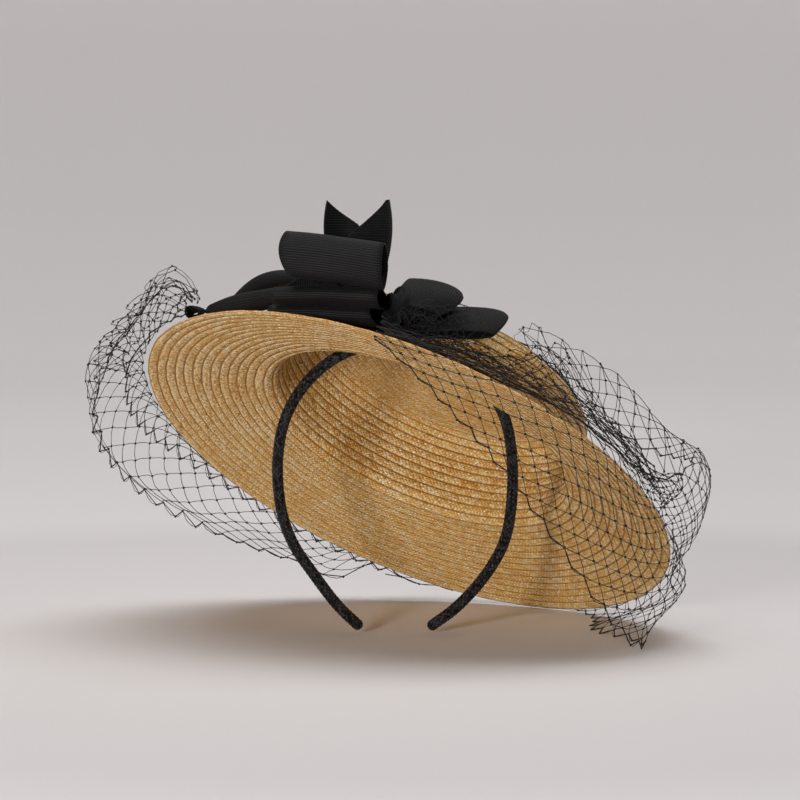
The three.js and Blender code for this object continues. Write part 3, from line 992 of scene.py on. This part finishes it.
def base_surface(s, w):
    """s runs along the ribbon from the knot to the left, and w up its width from the straw."""
    x = -12 - 62 * s
    y = -63 - 4 * np.sin(9 * s) * (0.4 + 0.6 * w) - 3 * w + 9 * s
    lean_x, lean_y, rise = HAT_TURN @ Vector((0, 0, 1))
    foot = (BASE_CLEAR - lean_x * x - lean_y * y) / rise
    top = np.maximum(117 - 12 * s - 14 * s ** 4, foot + 3)
    return np.stack([x, y, foot + (top - foot) * w], axis=1)


base = strip(BASE_LENGTH, BASE_HEIGHT, BASE_COLUMNS)
curl(base, base_surface, BASE_LENGTH)
finish_ribbon(base, "ribbon_base", None)

# %% [markdown]
# The veil is open netting: fine black threads knotted into diamonds about a centimetre
# wide, with a stouter zigzag thread along each selvedge. It is a straight strip, tacked
# round the brim's edge. To lay one like it, the shape that the strip hangs in is first
# made as a smooth sheet from rails, and that sheet is never seen. Then the sheet is
# flattened, the diamonds are drawn on the flat, and every knot is carried back.

# %% The sheet that the net hangs in
NET_TACK = (BRIM_RADIUS + 1.55, 2.3)
NET_ROWS = [
    # angle, swell, out, down, then radius, height and turn at low, crest and top
    (-108, 1, 0, 5, (141, 8, 0), (128, 12, 0), (119, 17, 0)),
    (-98, 1, 0, 21, (138, 9, 0), (118, 14, 0), (102, 26, 0)),
    (-85, 1, 0, 43, (136, 10, 0), (112, 18, 0), (96, 36, 0)),
    (-72, 1, 0, 66, (136, 11, 0), (110, 22, 0), (94, 46, 0)),
    (-60, 1, -1, 84, (138, 12, 0), (114, 28, 0), (96, 54, 0)),
    (-48, 3, -4, 90, (149, 7, 0), (147, 10, 0), (144, 13, 0)),
    (-38, 10, -9, 90, (154, 7, 0), (155, 11, 0), (151, 14, 0)),
    (-30, 16, -16, 90, (156, 10, 0), (158, 22, 0), (152.5, 31, 0)),
    (-22, 18, -26, 90, (159, 16, 0), (161, 38, 0), (151, 54, 0)),
    (-11, 16, -40, 90, (158, 22, 0), (150, 58, 0), (134, 67, -4)),
    (4, 12, -40, 90, (153, 34, 0), (120, 78, -12), (114, 70, -19)),
    (20, 6, -21, 90, (149, 38, 0), (93, 90, -33), (93, 71, -41)),
    (32, 3, -5, 90, (148, 40, 0), (72, 95, -51), (73, 72, -60)),
    (44, 3, 8, 90, (148, 40, 0), (48, 97, -74), (52, 73, -90)),
    (58, 3, 12, 3, (149, 38, 0), (38, 96, -98), (46, 75, -122)),
    (70, 3, 12, 5, (150, 34, 0), (72, 88, -62), (62, 74, -74)),
    (80, 3, 8, 7, (154, 22, 0), (128, 58, -14), (114, 52, -18)),
    (91, 3, 6, 6, (159, 10, 0), (166, 8, 0), (160, -8, 0)),
    (103, 2, 3, 5, (161, 8, 0), (171, -3, 0), (158, -17, 0)),
    (116, 2, 3, 6, (164, 8, 0), (177, -9, 0), (160, -24, 0)),
    (129, 2, 3, 8, (168, 8, 0), (183, -16, 0), (167, -29, 0)),
    (142, 2, 7, 13, (170, 8, 0), (187, -20, 0), (173, -32, 0)),
    (155, 2, 11, 18, (171, 8, 0), (188, -18, 0), (175, -30, 0)),
    (167, 2, 12, 18, (170, 9, 0), (186, -11, 0), (174, -22, 0)),
    (178, 2, 11, 12, (167, 10, 0), (181, -2, 0), (170, -8, 0)),
    (188, 1, 6, 4, (163, 12, 0), (173, 10, 0), (165, 6, 0)),
    (197, 1, 3, 0, (160, 14, 0), (167, 20, 0), (161, 22, 0)),
    (204, 0, 1, -1, (155, 6, 0), (157, 11, 0), (153, 13, 0)),
]
TOP_SAG_ANGLES, TOP_SAGS = [-38, -22, -11, 4, 20, 32], [1, 9, 17, 18, 12, 1]
FLOOR_CLEAR, THREAD_CLEAR = 0.5, 0.3
FALL_MIDDLE = 0.45


def net_section(row):
    """Points across the strip: two on its falling half, the tack, four on its rising half."""
    angle, swell, out, down, *rising = row
    tack = on_hat(NET_TACK[0], angle, NET_TACK[1])
    outward = on_hat(1, angle, 0)
    outward = Vector((outward.x, outward.y, 0)).normalized()
    edge = tack + outward * out
    edge.z -= min(down, tack.z - FLOOR - FLOOR_CLEAR)
    middle = tack.lerp(edge, FALL_MIDDLE) + outward * swell
    radius, height, turn = rising[-1]
    sag = np.interp(angle, TOP_SAG_ANGLES, TOP_SAGS)
    rising.append((radius - 0.3 * sag, height - sag, turn - 2))
    rising = [on_hat(radius, angle + turn, height) for radius, height, turn in rising]
    return [edge, middle, tack, *rising]


net_sections = np.array([[tuple(point) for point in net_section(row)] for row in NET_ROWS])


def net_sheet(first_row, last_row, columns, rows, low=0.0, high=1.0):
    """Points of the sheet, [across, along], from one row of the table to another."""
    last = len(NET_ROWS) - 1
    shares = np.linspace(first_row / last, last_row / last, columns)
    rails = np.array([through(net_sections, share, EVEN) for share in shares]).transpose(1, 0, 2)
    return np.array([through(rails, share, CENTRIPETAL) for share in np.linspace(low, high, rows)])


print("net sheet from", len(NET_ROWS), "sections of", net_sections.shape[1], "points")

# %% [markdown]
# A net shears and slides until it lies easily, and a harmonic map does the same: each point
# of the sheet takes the weighted mean of its neighbours' flat coordinates, so squares stay
# nearly square. One coordinate runs from selvedge to selvedge and the other from end to
# end, and the second is then stretched to the strip's true length at each place.

# %% Flatten the sheet
LENGTH_BINS = 60


def sheet_corners(sheet):
    """The numbers of a sheet's points, and its triangles."""
    rows, columns, _ = sheet.shape
    corner = np.arange(rows * columns).reshape(rows, columns)
    a, b, c, d = corner[:-1, :-1], corner[:-1, 1:], corner[1:, 1:], corner[1:, :-1]
    halves = [np.stack(three, -1).reshape(-1, 3) for three in ((a, b, c), (a, c, d))]
    return corner, np.concatenate(halves)


def harmonic(points, triangles, starts, ends):
    """The harmonic function that is 0 at the starting points and 1 at the end points."""
    count = len(points)
    pull = np.zeros((count, count))
    for k in range(3):
        i, j, o = triangles[:, k], triangles[:, (k + 1) % 3], triangles[:, (k + 2) % 3]
        u, v = points[i] - points[o], points[j] - points[o]
        cot = (u * v).sum(1) / np.maximum(np.linalg.norm(np.cross(u, v), axis=1), 1e-6)
        weight = np.clip(cot, 0.05, 20) / 2
        np.add.at(pull, (i, j), weight)
        np.add.at(pull, (j, i), weight)
    system = np.diag(pull.sum(1)) - pull
    free = np.setdiff1d(np.arange(count), np.concatenate([starts, ends]))
    result = np.zeros(count)
    result[ends] = 1
    result[free] = np.linalg.solve(system[np.ix_(free, free)], -system[np.ix_(free, ends)].sum(1))
    return result


def flatten(sheet):
    """Flat coordinates: true length along the sheet, and 0 to 1 across it; its length and width."""
    points = sheet.reshape(-1, 3)
    corner, triangles = sheet_corners(sheet)
    across = harmonic(points, triangles, corner[0], corner[-1])
    along = harmonic(points, triangles, corner[:, 0], corner[:, -1])
    a, b, c = (points[triangles[:, k]] for k in range(3))
    double_area = np.maximum(np.linalg.norm(np.cross(b - a, c - a), axis=1), TINY)
    normal = np.cross(b - a, c - a) / double_area[:, None]

    def slope(values):
        turns = [np.cross(normal, side) for side in (c - b, a - c, b - a)]
        turn = sum(turn * values[triangles[:, k], None] for k, turn in enumerate(turns))
        return np.linalg.norm(turn, axis=1) / double_area

    bins = np.clip((along[triangles].mean(1) * LENGTH_BINS).astype(int), 0, LENGTH_BINS - 1)
    areas, sloped_areas = (
        np.bincount(bins, share, LENGTH_BINS) for share in (double_area, double_area * slope(along))
    )
    stretch = areas / np.maximum(sloped_areas, TINY)
    lengths = np.concatenate([[0], np.cumsum(stretch / LENGTH_BINS)])
    along = np.interp(along, np.linspace(0, 1, LENGTH_BINS + 1), lengths)
    width = double_area.sum() / (double_area * slope(across)).sum()
    return along.reshape(corner.shape), across.reshape(corner.shape), lengths[-1], width


def measure_off(sheet, tack_row, shear):
    """The same for a narrow sheet, measured plainly along its tack line and across each column."""
    along = lengths_along(sheet[tack_row])
    across = np.stack([lengths_along(column) for column in sheet.transpose(1, 0, 2)], axis=1)
    width = across[-1].mean()
    across = across / across[-1]
    return along[None, :] + shear * width * (across - 0.5), across, along[-1], width


# %% [markdown]
# The diamonds are numbered like the dark squares of a chessboard, by i along the strip and
# j across it. First every knot is placed: its spot on the flat strip is looked up in the
# flattened triangles and carried to the same triangle of the hanging sheet. Near its tacks
# the strip is ruffled, and elsewhere it drifts a little off the smooth sheet.

# %% Place the knots
CELL = 10.6
HALF = CELL / math.sqrt(2)
JITTER, INSET = 0.16, 0.3
TACK_SHARE, TACK_SPREAD = 0.35, 0.14
PLEAT_STEP = 3.9
STRIP_EDGE = 2.5
dice = np.random.default_rng(7)


def waves(point, size, seed=0.0):
    """Smooth noise from about -1 to 1, whose bumps are about this many millimetres wide."""
    return noise.noise(Vector(point) / size + Vector((seed, 0, 0)))


def turn_of(u, v):
    """Twice the area of the flat triangle between two directions."""
    return u[0] * v[1] - u[1] * v[0]


def placer(sheet, flat, half, ruffle, drift, lift, cells):
    """A function that gives the point and normal at lattice place (i, j), or None off the strip.

    drift is how far the strip drifts off the sheet, ruffle how far it ruffles near its tacks,
    and lift how far the whole of it is raised.
    """
    along, across, _, width = flat
    rows, columns, _ = sheet.shape
    triangles = sheet_corners(sheet)[1]
    flat_points = [Vector((s, w * width, 0)) for s, w in zip(along.ravel(), across.ravel())]
    finder = BVHTree.FromPolygons(flat_points, triangles.tolist())
    points = sheet.reshape(-1, 3)
    normals = np.cross(np.gradient(sheet, axis=1), np.gradient(sheet, axis=0)).reshape(-1, 3)
    normals /= np.maximum(np.linalg.norm(normals, axis=1), TINY)[:, None]

    def place(i, j):
        wanted = Vector((along.min() + i * half, min(max(j / cells, 0), 1) * width, 0))
        found, _, index, gap = finder.find_nearest(wanted)
        k = triangles[index]
        a, b, c = (np.array(flat_points[n].xy) for n in k)
        here = np.array(found.xy)
        total = turn_of(b - a, c - a)
        if gap > STRIP_EDGE * half or abs(total) < TINY:
            return None
        share_b, share_c = turn_of(here - a, c - a) / total, turn_of(b - a, here - a) / total
        shares = np.array([1 - share_b - share_c, share_b, share_c])
        point, normal = shares @ points[k], shares @ normals[k]
        share_across = shares @ (k // columns) / (rows - 1)
        near_tack = math.exp(-((share_across - TACK_SHARE) / TACK_SPREAD) ** 2)
        pleat = 0.5 + 0.5 * math.sin(wanted.x / PLEAT_STEP + 5 * waves(point, 60, 3.1))
        loose = drift * (0.5 + waves(point, 34)) * (1 - 0.6 * near_tack)
        point = point + normal * (lift + ruffle * near_tack * pleat + loose)
        point[2] = max(point[2], FLOOR + THREAD_CLEAR)
        return point, normal

    return place


# %% [markdown]
# Threads run from knot to knot on both diagonals, a little slack, so that each one bows.
# The stouter selvedge thread zigzags between the outermost two rows of knots. One more
# point close to each rim knot keeps its sharp turn short.

# %% Thread the net
SAG_SHARES = (1 / 3, 2 / 3)
SELVEDGE_TURN = 0.86
threads, selvedges, knots = [], [], []


def slack_thread(route, grid, place, slack):
    """A thread through the knots of a route, with two points between each two knots."""
    line = []
    for one, two in zip(route, route[1:]):
        (a, normal), (b, _) = grid[one], grid[two]
        step = two[0] - one[0], two[1] - one[1]
        side, gap = np.cross(b - a, normal), np.linalg.norm(b - a)
        bow = slack * step[1] * (0.6 + 0.8 * waves(a, 50, 9.0)) * min(1, gap / CELL)
        line.append(a)
        for share in SAG_SHARES:
            straight = a + (b - a) * share
            spot = place(one[0] + share * step[0], one[1] + share * step[1])
            pull = (straight if spot is None else spot[0]) - straight
            if np.linalg.norm(pull) > 0.5 * gap:
                pull = pull * 0
            line.append(straight + 0.8 * pull + side / max(np.linalg.norm(side), TINY) * bow)
    return line + [grid[route[-1]][0]]


def selvedge_threads(grid, places_along, rim, inner):
    """The zigzag threads along one edge, broken where the strip has no knots."""
    lines = [[]]
    for i in places_along:
        on_rim = (i + rim) % 2 == 0
        spot = grid.get((i, rim if on_rim else inner))
        if spot is not None:
            line = lines[-1]
            if line:
                share = SELVEDGE_TURN if on_rim else 1 - SELVEDGE_TURN
                line.append(line[-1] + (spot[0] - line[-1]) * share)
            line.append(spot[0])
        elif len(lines[-1]) > 2:
            lines.append([])
    return [line for line in lines if len(line) > 2]


def lay_net(sheet, flat, cells, half=HALF, ruffle=1.6, drift=2.2, slack=0.55, lift=0.0, edged=True):
    """Adds the threads, selvedges and knots of one strip of net on a sheet."""
    along, _, length, width = flat
    phase = dice.random((4 * round(length / half) + 40, cells + 1, 2)) - 0.5
    place = placer(sheet, flat, half, ruffle, drift, lift, cells)
    places_along = range(round((along.max() - along.min()) / half) + 1)
    grid = {}
    for i in places_along:
        for j in range(i % 2, cells + 1, 2):
            shift = phase[i, j] * JITTER
            inset = INSET * ((j == 0) - (j == cells))
            spot = place(i + shift[0], j + (shift[1] if 0 < j < cells else inset))
            if spot is not None:
                grid[i, j] = spot
    for i, j in grid:
        for across in (1, -1):
            if (i - 1, j - across) not in grid:
                route = [(i, j)]
                while (route[-1][0] + 1, route[-1][1] + across) in grid:
                    route.append((route[-1][0] + 1, route[-1][1] + across))
                if len(route) > 1:
                    threads.append(slack_thread(route, grid, place, slack))
    for rim, inner in ((0, 1), (cells, cells - 1)) if edged else ():
        selvedges.extend(selvedge_threads(grid, places_along, rim, inner))
    for (i, j), (point, normal) in grid.items():
        ahead = grid.get((i + 1, j + 1)) or grid.get((i - 1, j - 1))
        if ahead is not None:
            knots.append((point, normal, ahead[0] - point))
    print("net strip", round(length), "x", round(width), "mm,", len(grid), "knots")


right_sheet = net_sheet(0, 16.3, 113, 27)
lay_net(right_sheet, flatten(right_sheet), 26)
left_sheet = net_sheet(16, 27, 96, 25)
lay_net(left_sheet, measure_off(left_sheet, 8, 0.1), 14, half=6.4, ruffle=0.8, drift=3.0, slack=0.8)

# %% [markdown]
# Beside the bow the strip's spare width is bunched into a second and a third layer that lie
# crumpled on the crown and the brim, and at the strip's other end it is puffed up. These
# layers reuse a part of the sheet, lifted and shaken by noise. A few loose loops of thread
# stray over the ribbon: they are wandering lines whose heading turns smoothly.

# %% Bunched layers
BUNCHES = [
    # first and last row, columns, rows, part of the width; shear, cells, ruffle, drift, slack, lift
    ((0, 6.5, 60, 15, 0.36, 0.82), -0.6, 10, 0, 9, 1.3, 1),
    ((0, 5.5, 60, 15, 0.4, 0.85), 0.5, 9, 0, 13, 1.6, 2),
    ((23, 27, 40, 13, 0.25, 1.0), -0.5, 7, 3, 10, 1.6, 2.5),
]
BUNCH_TACK_ROW = 4
for part, shear, cells, ruffle, drift, slack, lift in BUNCHES:
    sheet = net_sheet(*part)
    flat = measure_off(sheet, BUNCH_TACK_ROW, shear)
    lay_net(sheet, flat, cells, HALF, ruffle, drift, slack, lift, edged=False)

# %% Stray loops
STRAY_LOOPS = 30
STRAY_LENGTH = 48
STRAY_STEP = 1.4
STRAY_MIDDLE, STRAY_REACH = np.array([13.0, -92.0, 79.0]), np.array([23.0, 4.0, 10.0])
for _ in range(STRAY_LOOPS):
    spot = STRAY_MIDDLE + STRAY_REACH * (dice.random(3) * 2 - 1) * 0.8
    heading = dice.random() * TAU
    swerve = 0.0
    line = []
    for _ in range(round(STRAY_LENGTH * (0.6 + 0.8 * dice.random()) / STRAY_STEP)):
        swerve = 0.86 * swerve + 0.22 * dice.standard_normal()
        heading += swerve
        inward = (STRAY_MIDDLE - spot) / STRAY_REACH
        pull = 0.9 * max(0.0, math.hypot(inward[0], inward[2]) - 0.8)
        ahead = np.array([math.cos(heading), 0.35 * math.sin(heading * 1.7), math.sin(heading)])
        spot = spot + STRAY_STEP * ahead
        spot = spot + pull * inward * (1, 0, 1)
        line.append(spot)
    threads.append(line)
print(len(threads), "threads,", len(selvedges), "selvedges,", len(knots), "knots")

# %% [markdown]
# Threads are curves with a small round section, because a curve keeps one thickness however
# it bends. They become meshes at once, so that the export sees plain faces. A knot is only
# a twenty-sided bead, pulled long: there are thousands of them.

# %% Thread material
thread_material = start_material("net_thread")
twist = noise_at(object_place(), 1800, 2)
feed_shader({
    "Base Color": ramp(twist, [(0.3, (0.006, 0.006, 0.007)), (0.75, (0.022, 0.021, 0.022))]),
    "Roughness": 0.34 + twist * 0.3,
    "Specular IOR Level": 0.2,
    "Normal": bump(twist, 0.5, 0.0001),
})


# %% Threads and selvedges
def threads_piece(name, lines, radius):
    """One piece of threads of this radius along lines of points."""
    curve = bpy.data.curves.new(name, "CURVE")
    curve.dimensions = "3D"
    curve.bevel_depth = radius * MM
    curve.bevel_resolution = 0
    curve.use_fill_caps = True
    for line in lines:
        spline = curve.splines.new("POLY")
        spline.points.add(len(line) - 1)
        for point, place in zip(spline.points, line):
            point.co = (*(RIM_CENTRE + Vector(place) * MM), 1)
    maker = bpy.data.objects.new(name + "_route", curve)
    bpy.context.scene.collection.objects.link(maker)
    mesh = bpy.data.meshes.new_from_object(maker.evaluated_get(bpy.context.evaluated_depsgraph_get()))
    mesh.name = name
    bpy.data.objects.remove(maker)
    bpy.data.curves.remove(curve)
    hand_over(show(name, mesh, thread_material), "veil")


THREAD, SELVEDGE = 0.19, 0.34
threads_piece("net_threads", threads, THREAD)
threads_piece("net_selvedges", selvedges, SELVEDGE)

# %% Knots
KNOT = (0.95, 0.72, 0.5)
KNOT_ROLL = Matrix.Rotation(math.radians(45), 4, "Z")
beads = bmesh.new()
for point, normal, ahead in knots:
    ahead = Vector(ahead).normalized()
    side = Vector(normal).cross(ahead).normalized()
    turn = Matrix((ahead, side, ahead.cross(side))).transposed().to_4x4()
    turn = turn @ KNOT_ROLL @ Matrix.Diagonal((*KNOT, 1))
    bmesh.ops.create_icosphere(
        beads, subdivisions=1, radius=1, matrix=Matrix.Translation(Vector(point)) @ turn,
    )
to_frame(beads)
hand_over(show_bmesh("net_knots", beads, thread_material), "veil")
